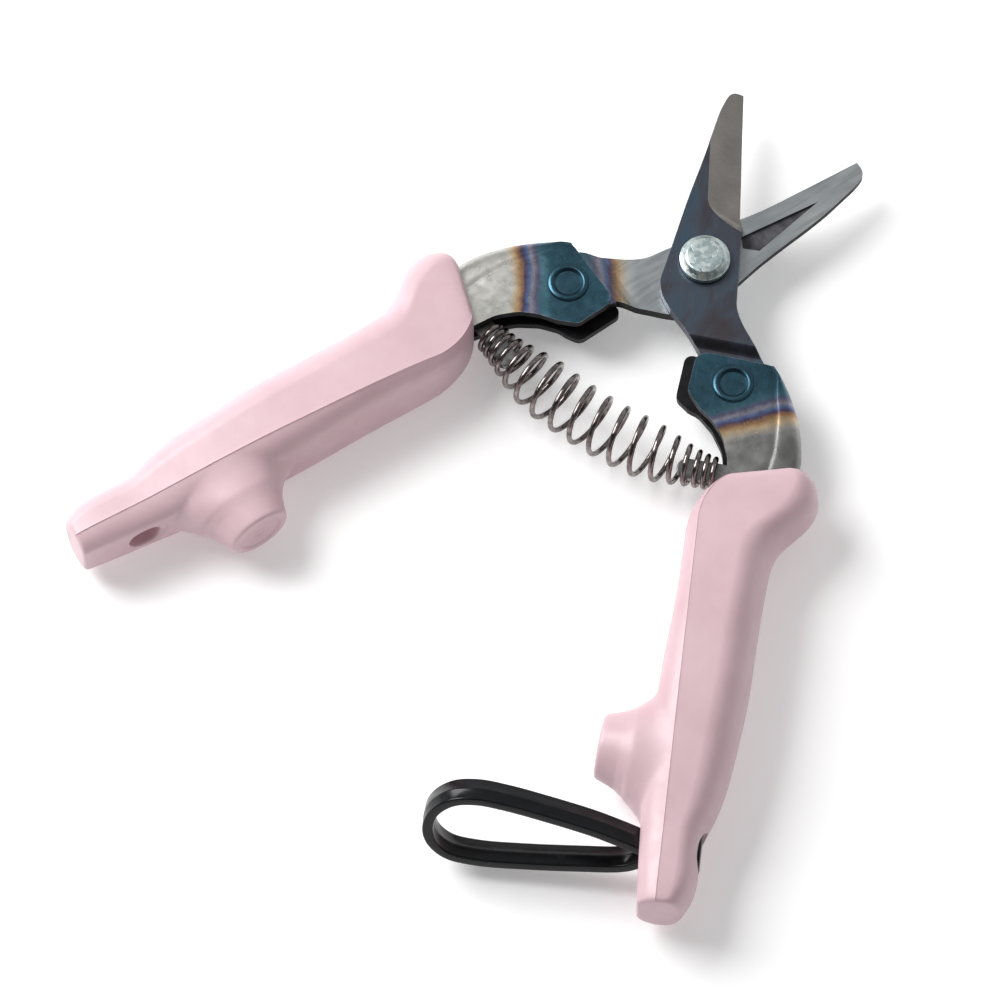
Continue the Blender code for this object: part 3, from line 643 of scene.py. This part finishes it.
def even(points, count):
    """`count` points at equal spacing along a polyline."""
    points = np.array(points, float)
    lengths = np.concatenate([[0], np.cumsum(np.linalg.norm(np.diff(points, axis=0), axis=1))])
    want = np.linspace(0, lengths[-1], count)
    return np.stack([np.interp(want, lengths, points[:, k]) for k in (0, 1)], -1)


def inner_edge(corners, radii):
    """The open inner edge of a flap, with rounded corners, from the top edge down."""
    ring = rounded([(16.0, corners[0][1] - 0.2)] + corners + [(30.0, -60.0)], [0] + radii + [0], 8)
    return ring[1:-1]


def tang(back_corners, back_radii):
    """A sheet folded round its outer edge: a front flap, the fold and a back flap."""
    count = 190
    spine = even(spline(SPINE), count)
    fold = even(spline(FOLD_LINE), count)
    front = even(inner_edge(FRONT_CORNERS, [2.4, 2.4, 4.0, 8.0, 8.0, 8.0, 8.0, 0]), count)
    back = even(inner_edge(back_corners, back_radii), count)
    flat = np.linspace(0, 1, 34)[:-1]
    bend = np.linspace(0, math.pi / 2, 14)
    rows = []
    for k in range(count):
        front_flat = front[k] + np.outer(flat, fold[k] - front[k])
        front_bend = fold[k] + np.outer(np.sin(bend), spine[k] - fold[k])
        back_flat = back[k] + np.outer(flat, fold[k] - back[k])
        flat_xy = np.vstack([front_flat, front_bend, front_bend[-2::-1], back_flat[::-1]])
        z = np.concatenate([np.ones(len(flat)), np.cos(bend), -np.cos(bend)[-2::-1], -np.ones(len(flat))])
        z *= TANG_HALF
        pressed = pad_height(flat_xy, fold[k][0])
        z += np.where(z > 3.0, pressed, 0.0)
        from_fold = (flat_xy[:, 0] - fold[k][0] + 0.5) / 0.55
        z -= np.where(z > 2.0, 0.2 * np.exp(-from_fold ** 2), 0.0)
        rows.append(np.column_stack([flat_xy, z]))
    bm = grid(rows, closed=False, caps=False)
    # the back flap takes the second, near-black finish: painted shade under the front flap
    for face in bm.faces:
        if face.calc_center_median().z < -1.5:
            face.material_index = 1
    return bm


def pad_height(points, fold_x):
    """The flap is pressed up a little round the rivet, out to the fold and to a line across the tang."""
    across = points @ np.array(ACROSS_TINT)
    room = np.minimum(32.9 - across, fold_x - 0.2 - points[:, 0])
    return 0.09 * smooth_step(room / 2.2)


def spring_tab():
    """The tongue that the spring sits on."""
    tongue = rounded([(17.5, -41.3), (3.2, -41.6), (3.2, -45.9), (17.5, -45.3)], (0, 2.0, 2.0, 0), 8)
    return prism(tongue, -0.75, 0.75)


def tangs():
    deep = [(0.0, -18.7), (-0.1, -28.4), (2.8, -30.4), (5.0, -31.1), (8.2, -33.8), (11.2, -38.0),
            (13.3, -47.0), (13.4, -60.0)]
    shallow = [(1.1, -18.9), (0.8, -29.0), (3.4, -30.6), (5.2, -31.3), (8.2, -33.8), (11.2, -38.0),
               (13.3, -47.0), (13.4, -60.0)]
    radii = [1.6, 2.0, 1.5, 4.0, 6.0, 8.0, 8.0, 0]
    for side, corners in (("right", deep), ("left", shallow)):
        body = side + "_half"
        sheet = piece(side + "_tang_detail", tang(corners, radii), place(side),
                      [tang_looks[side], scale_and_painted_shade_look], 60)
        thick = sheet.modifiers.new("sheet", "SOLIDIFY")
        thick.thickness = SHEET * MM
        thick.offset = -1.0
        # the sheet's cut edges take the near-black finish as painted shade
        thick.material_offset_rim = 1
        softened(sheet, 0.28, 3, 50)
        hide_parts(side + "_tang")
        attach(sheet, body)
        tab = softened(piece(side + "_spring_tab", spring_tab(), place(side), [tab_look], 40), 0.25)
        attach(tab, body)
        rivet = piece(side + "_tang_rivet_detail", tang_rivet(), place(side), [tang_looks[side]], 60)
        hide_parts(side + "_tang_rivet")
        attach(rivet, body)


def tang_rivet():
    """A tubular rivet: a soft ring round a dish at the front, and the same at the back."""
    ring = [(0.3, 2.74), (1.1, 2.76), (1.5, 2.86), (1.9, 3.08), (2.3, 3.34), (2.65, 3.6), (2.88, 3.8),
            (3.02, 3.93), (3.18, 4.01), (3.4, 4.02), (3.75, 3.93), (3.98, 3.8), (4.1, 3.62), (4.12, 3.3)]
    back = [(r, -z + 0.2) for r, z in ring]
    return turned(back + [(2.0, -2.5), (2.0, 2.5)] + ring[::-1], TANG_RIVET)


# ---------------------------------------------------------------- grips

OUTER_SIDE = [(46.6, 23.6), (47.4, 25.2), (48.8, 26.6), (50.6, 27.3), (52.4, 27.4), (54.4, 26.4),
              (56.4, 24.2), (58.4, 21.9), (60.6, 20.4), (63.5, 19.6), (70.0, 19.0), (80.0, 18.5),
              (91.0, 18.1), (101.0, 17.1), (111.0, 15.7), (117.0, 14.1), (121.0, 12.6), (125.0, 12.1),
              (130.0, 12.1), (133.0, 11.6), (135.4, 10.6), (136.9, 9.7)]
THICKNESS = [(46.6, 12.4), (47.4, 13.8), (49.0, 14.8), (54.0, 16.0), (62.0, 18.4), (70.0, 19.7),
             (76.0, 20.0), (80.0, 20.0), (88.0, 20.0), (92.0, 20.0), (98.0, 19.5), (106.0, 18.2),
             (115.0, 16.2), (122.0, 14.8), (132.0, 14.2), (135.4, 13.7), (136.9, 13.2)]
INNER_RUN = [(60.0, 2.3), (72.0, 2.0), (88.0, 0.8), (104.0, 0.1), (116.0, 0.0), (124.0, 0.3), (133.0, 0.8),
             (136.9, 1.1)]
MOUTH = 46.6                         # the grip starts here, and the tang goes in
TAIL_END = 136.9
SHOULDER = [(46.6, 0.80), (50.0, 0.78), (54.0, 0.70), (60.0, 0.62), (137.0, 0.62)]
BOSS_S, BOSS_Y, BOSS_BASE = 104.8, -104.3, 15.0
SLOT_S, SLOT_LENGTH, SLOT_HEIGHT = 124.0, 6.6, 5.4


def inner_side(s):
    turn = np.clip((60.0 - s) / 13.4, 0.0, 1.0)
    corner = 2.3 + 8.2 * (1 - math.sqrt(1 - turn * turn))
    return corner if s < 60.0 else float(along(INNER_RUN, s))


def section(s, inset=0.0):
    """Half of the grip's outline at s as (u, z) points, from the inner side's middle round the front."""
    inner = inner_side(s)
    outer = float(along(OUTER_SIDE, s))
    half = float(along(THICKNESS, s)) / 2
    crease = max(4.6, inner + 1.2 + 1.1 * min(1.0, max(0.0, (s - 47.0) / 13.0)))
    shoulder = inner + float(along(SHOULDER, s)) * (outer - inner)
    flat = half * 0.50
    angles = np.radians(np.linspace(0, 60, 20))
    wide = 2 * (crease - inner)
    tall = (half - flat) / math.sin(math.radians(60))
    front = np.linspace(crease + 0.12, shoulder, 30)
    outer_angles = np.linspace(0, math.pi / 2, 40)[1:]
    u = np.concatenate([np.full(27, inner), inner + wide * (1 - np.cos(angles[1:])), front,
                        shoulder + (outer - shoulder) * np.sin(outer_angles)])
    z = np.concatenate([np.linspace(0, flat, 27), flat + tall * np.sin(angles[1:]), np.full(30, half),
                        half * np.cos(outer_angles)])
    z[-1] = 0.0
    bead = np.array([(-0.15, -0.06), (-0.13, 0.07), (-0.02, 0.12), (0.06, 0.02)])
    u[44:48] = crease + bead[:, 0]
    z[44:48] = half + bead[:, 1]
    if inset:
        middle, wide = (inner + outer) / 2, (outer - inner) / 2
        u = middle + (u - middle) * (1 - inset / wide)
        z = z * (1 - inset / half)
    return u, z


def boss_profile():
    """(share of the base radius, radius along y, radius along z, x) from the face's middle to the base."""
    return np.array([
        (0.0, 0.0, 0.0, 0.5), (0.05, 0.8, 0.8, 0.5), (0.075, 1.15, 1.15, 0.25), (0.10, 1.5, 1.5, 0.42),
        (0.25, 4.3, 4.3, 0.42), (0.27, 4.6, 4.6, 0.18), (0.33, 5.7, 5.7, 0.18), (0.36, 6.15, 6.15, 0.32),
        (0.385, 6.45, 6.4, 0.75), (0.48, 7.1, 6.8, 2.6), (0.58, 7.9, 7.2, 4.5), (0.68, 9.1, 7.7, 6.2),
        (0.78, 10.7, 8.2, 7.6), (0.89, 12.7, 8.8, 8.8), (1.0, BOSS_BASE, 9.4, 9.8)])


def raise_boss(points, z, half):
    """Pulls the inner side out into the round stop."""
    a = (points[:, 1] - BOSS_Y) / BOSS_BASE
    b = z / half
    t = np.hypot(a, b)
    table = boss_profile()
    ry, rz, x = (np.interp(t, table[:, 0], table[:, k]) for k in (1, 2, 3))
    safe = np.maximum(t, 1e-6)
    target = np.stack([x, BOSS_Y + ry * a / safe, rz * b / safe], -1)
    weight = 1 - smooth_step((t - 0.70) / 0.30)
    return points + (target - points) * weight[:, None]


def grip_body():
    """Sections lofted from the mouth to the tail, with both ends rounded by `rim`."""
    rim = 0.7
    turns = np.linspace(0, math.pi / 2, 7)
    stations = [(MOUTH, rim + 0.6)]
    stations += [(MOUTH + rim * (1 - math.cos(a)), rim * (1 - math.sin(a))) for a in turns]
    stations += [(s, 0.0) for s in np.concatenate([
        np.arange(47.6, 62.0, 0.4), np.arange(62.0, 89.0, 0.8), np.arange(89.0, 121.0, 0.22),
        np.arange(121.0, TAIL_END - 0.9, 0.5)])]
    stations += [(TAIL_END - rim * (1 - math.cos(a)), rim * (1 - math.sin(a))) for a in turns[::-1]]
    stations += [(TAIL_END, rim + 0.6)]
    rows = []
    for s, inset in stations:
        u, z = section(s, inset)
        u = np.concatenate([u, u[-2:0:-1]])
        z = np.concatenate([z, -z[-2:0:-1]])
        slope = 0.22 * max(0.0, 1 - (s - MOUTH) / 14.0)
        points = handle_point(s - slope * (u - 9.0), u, z)
        if abs(s - BOSS_S) < 16.5:
            half = float(along(THICKNESS, s)) / 2
            inside = u < 6.0
            points[inside] = raise_boss(points[inside], z[inside], half)
        rows.append(points)
    return grid(rows)


def stadium(length, height, count=32):
    angles = (np.arange(count) + 0.5) * 2 * math.pi / count
    shift = np.where(np.cos(angles) > 0, 1, -1) * (length - height) / 2
    return shift + height / 2 * np.cos(angles), height / 2 * np.sin(angles)


def slot_cutter():
    """The strap's slot, with a soft mouth inside and a seat for the stopper outside."""
    rows = []
    rim = 0.8
    levels = [(-4.0, rim + 2.0), (0.25, rim)]
    levels += [(0.25 + rim * (1 - math.cos(a)), rim * (1 - math.sin(a)))
               for a in np.linspace(0.2, math.pi / 2, 6)]
    levels += [(8.4, 0.0), (8.4, 1.0), (18.0, 1.0)]
    for u, wider in levels:
        along_s, along_z = stadium(SLOT_LENGTH + 2 * wider, SLOT_HEIGHT + 2 * wider)
        rows.append(handle_point(SLOT_S + along_s, u, along_z))
    return grid(rows)


def grips():
    for side in ("right", "left"):
        bm = boolean(grip_body(), slot_cutter())
        grip = piece(side + "_grip_detail", bm, place(side), [pink], 42)
        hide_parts(side + "_grip")
        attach(grip, side + "_half")


# ---------------------------------------------------------------- spring

def spring_curve(steps=40):
    """Points along the wire: a barrel helix whose axis bows away from the pivot."""
    end = 26.7

    def share(x):
        return float(smooth_step(max(0.0, end - abs(x)) / 16.0))

    halves = []
    for direction in (1, -1):
        x, turn, run = 0.85, 0.0, []
        while abs(x) < end:
            run.append((x, turn))
            turn += direction / steps
            x += direction * (1.5 + 2.8 * share(x)) / steps
        halves.append(run)
    points = []
    for x, turn in list(reversed(halves[1]))[:-1] + halves[0]:
        slope = 2 * 3.95 * x / end ** 2
        tangent = Vector((1, slope, 0)).normalized()
        across = Vector((-tangent.y, tangent.x, 0))
        angle = math.pi / 2 - 2 * math.pi * turn
        radius = 2.95 + 2.7 * share(x)
        centre = Vector((x, -40.15 + 3.95 * (x / end) ** 2, 0))
        points.append(centre + radius * (across * math.sin(angle) + Vector((0, 0, 1)) * math.cos(angle)))
    return points


def return_spring():
    wire = piece("return_spring_detail", tube(spring_curve(), 0.55, 16), place("middle"), [wire_look], 60)
    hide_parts("return_spring")
    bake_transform(wire)


# ---------------------------------------------------------------- strap

LOOP = [(-4.0, 1.05), (-1.2, 1.4), (0.3, 2.1), (2.2, 3.0), (5.0, 4.2), (9.0, 5.8), (18.0, 8.5),
        (26.0, 10.5), (31.5, 11.2), (36.0, 10.2), (39.4, 6.8), (40.6, 2.2), (39.6, -2.0), (36.5, -5.1),
        (31.0, -6.2), (21.0, -5.8), (10.0, -4.7), (5.0, -4.1), (2.2, -3.4), (0.3, -2.4), (-1.2, -1.5),
        (-4.0, -1.05)]
ROOT_REACH, ROOT_HEIGHT = -7.7, 1.05  # the two ends lie inside the slot, just short of the stopper
STRAP_TWIST = math.radians(20.0)


def strap_section():
    """The band's outline as (across, thick) points, with a fine rib along both faces."""
    half_width, half_thick, corner = 2.7, 1.0, 0.35
    arc = np.linspace(0, math.pi / 2, 5)
    quarter = [(half_width - corner + corner * math.cos(a), half_thick - corner + corner * math.sin(a))
               for a in arc]
    rib = [(0.35, half_thick), (0.2, half_thick + 0.09), (-0.2, half_thick + 0.09), (-0.35, half_thick)]
    top = quarter + rib + [(-w, t) for w, t in reversed(quarter)]
    return top + [(-w, -t) for w, t in top]


def strap_point(reach, height):
    """A point of the strap and its width direction, in the closed frame of the right half."""
    twist = STRAP_TWIST * float(smooth_step((reach + 6.0) / 5.0))
    down = Vector((math.sin(HANDLE_TILT), -math.cos(HANDLE_TILT), 0))
    outward = Vector((math.cos(HANDLE_TILT), math.sin(HANDLE_TILT), 0))
    up = Vector((0, 0, 1)) * math.cos(twist) - down * math.sin(twist)
    width = down * math.cos(twist) + Vector((0, 0, 1)) * math.sin(twist)
    return down * SLOT_S + outward * (0.2 - reach) + up * height, width


def lock_strap():
    path = [(ROOT_REACH, ROOT_HEIGHT)] + spline(LOOP, 0.6) + [(ROOT_REACH, -ROOT_HEIGHT)]
    placed = [strap_point(*point) for point in path]
    outline = strap_section()
    rows = []
    for i, (point, width) in enumerate(placed):
        tangent = (placed[min(i + 1, len(placed) - 1)][0] - placed[max(i - 1, 0)][0]).normalized()
        across = (width - tangent * width.dot(tangent)).normalized()
        normal = tangent.cross(across)
        rows.append([point + across * w + normal * t for w, t in outline])
    band = piece("lock_strap_detail", grid(rows), place("right"), [black], 35)
    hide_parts("lock_strap")
    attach(band, "strap")
    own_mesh(band)
    along_s, along_z = stadium(8.2, 6.8)
    rows = [handle_point(SLOT_S + along_s, u, along_z) for u in (8.7, 12.2)]
    stopper = softened(piece("strap_stopper_detail", grid(rows), place("right"), [black], 40), 0.6)
    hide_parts("strap_stopper")
    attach(stopper, "right_half")


# ---------------------------------------------------------------- stage

FLOOR_Z = -15.78
LENS, SENSOR = 287.1, 36.0
CAMERA_PLACE = (0.3539, -0.5804, 1.4193)
CAMERA_TURNS = (-19.91, -13.33, -31.8)


def camera():
    data = bpy.data.cameras.new("camera")
    data.lens = LENS
    data.sensor_width = SENSOR
    data.clip_end = 20.0
    made = bpy.data.objects.new("camera", data)
    bpy.context.scene.collection.objects.link(made)
    turn_x, turn_y, turn_z = (math.radians(a) for a in CAMERA_TURNS)
    to_camera = (Matrix.Rotation(turn_z, 3, "Z") @ Matrix.Rotation(turn_y, 3, "Y")
                 @ Matrix.Rotation(turn_x, 3, "X"))
    made.matrix_world = Matrix.Translation(CAMERA_PLACE) @ to_camera.transposed().to_4x4()
    bpy.context.scene.camera = made
    return made


def area_light(name, watts, size, right, up, back, cam):
    """An area light placed by the camera's own directions, aimed at the middle of the object."""
    data = bpy.data.lights.new(name, "AREA")
    data.energy = watts
    data.size = size
    made = bpy.data.objects.new(name, data)
    bpy.context.scene.collection.objects.link(made)
    target = Vector((0.0, -0.06, 0.0))
    offset = cam.matrix_world.to_3x3() @ Vector((right, up, back))
    made.location = target + offset
    made.rotation_euler = (-offset).to_track_quat("-Z", "Y").to_euler()
    return made


def stage():
    bm = bmesh.new()
    bmesh.ops.create_grid(bm, x_segments=1, y_segments=1, size=3000)
    floor = piece("floor", bm, Matrix.Scale(MM, 4) @ Matrix.Translation((0, 0, FLOOR_Z)), [floor_paper()])
    cam = camera()
    area_light("key_light", 6.4, 0.45, -0.44, 0.42, 0.38, cam)
    area_light("ceiling_light", 7.0, 2.2, 0.25, 0.75, 0.62, cam)
    world = bpy.data.worlds.new("studio")
    world.use_nodes = True
    tree = world.node_tree
    height = tree.nodes.new("ShaderNodeSeparateXYZ")
    tree.links.new(tree.nodes.new("ShaderNodeTexCoord").outputs["Generated"], height.inputs[0])
    shade = tree.nodes.new("ShaderNodeValToRGB")
    tree.links.new(height.outputs["Z"], shade.inputs[0])
    shade.color_ramp.elements.new(0.36)
    for point, (place_on, value) in zip(shade.color_ramp.elements, ((0.1, 0.72), (0.36, 0.1), (1.0, 0.06))):
        point.position = place_on
        point.color = (value, value, value, 1.0)
    tree.links.new(shade.outputs["Color"], tree.nodes["Background"].inputs["Color"])
    bpy.context.scene.world = world
    bpy.context.scene.view_settings.view_transform = "Standard"


blades()
pivot()
tangs()
grips()
return_spring()
lock_strap()
stage()
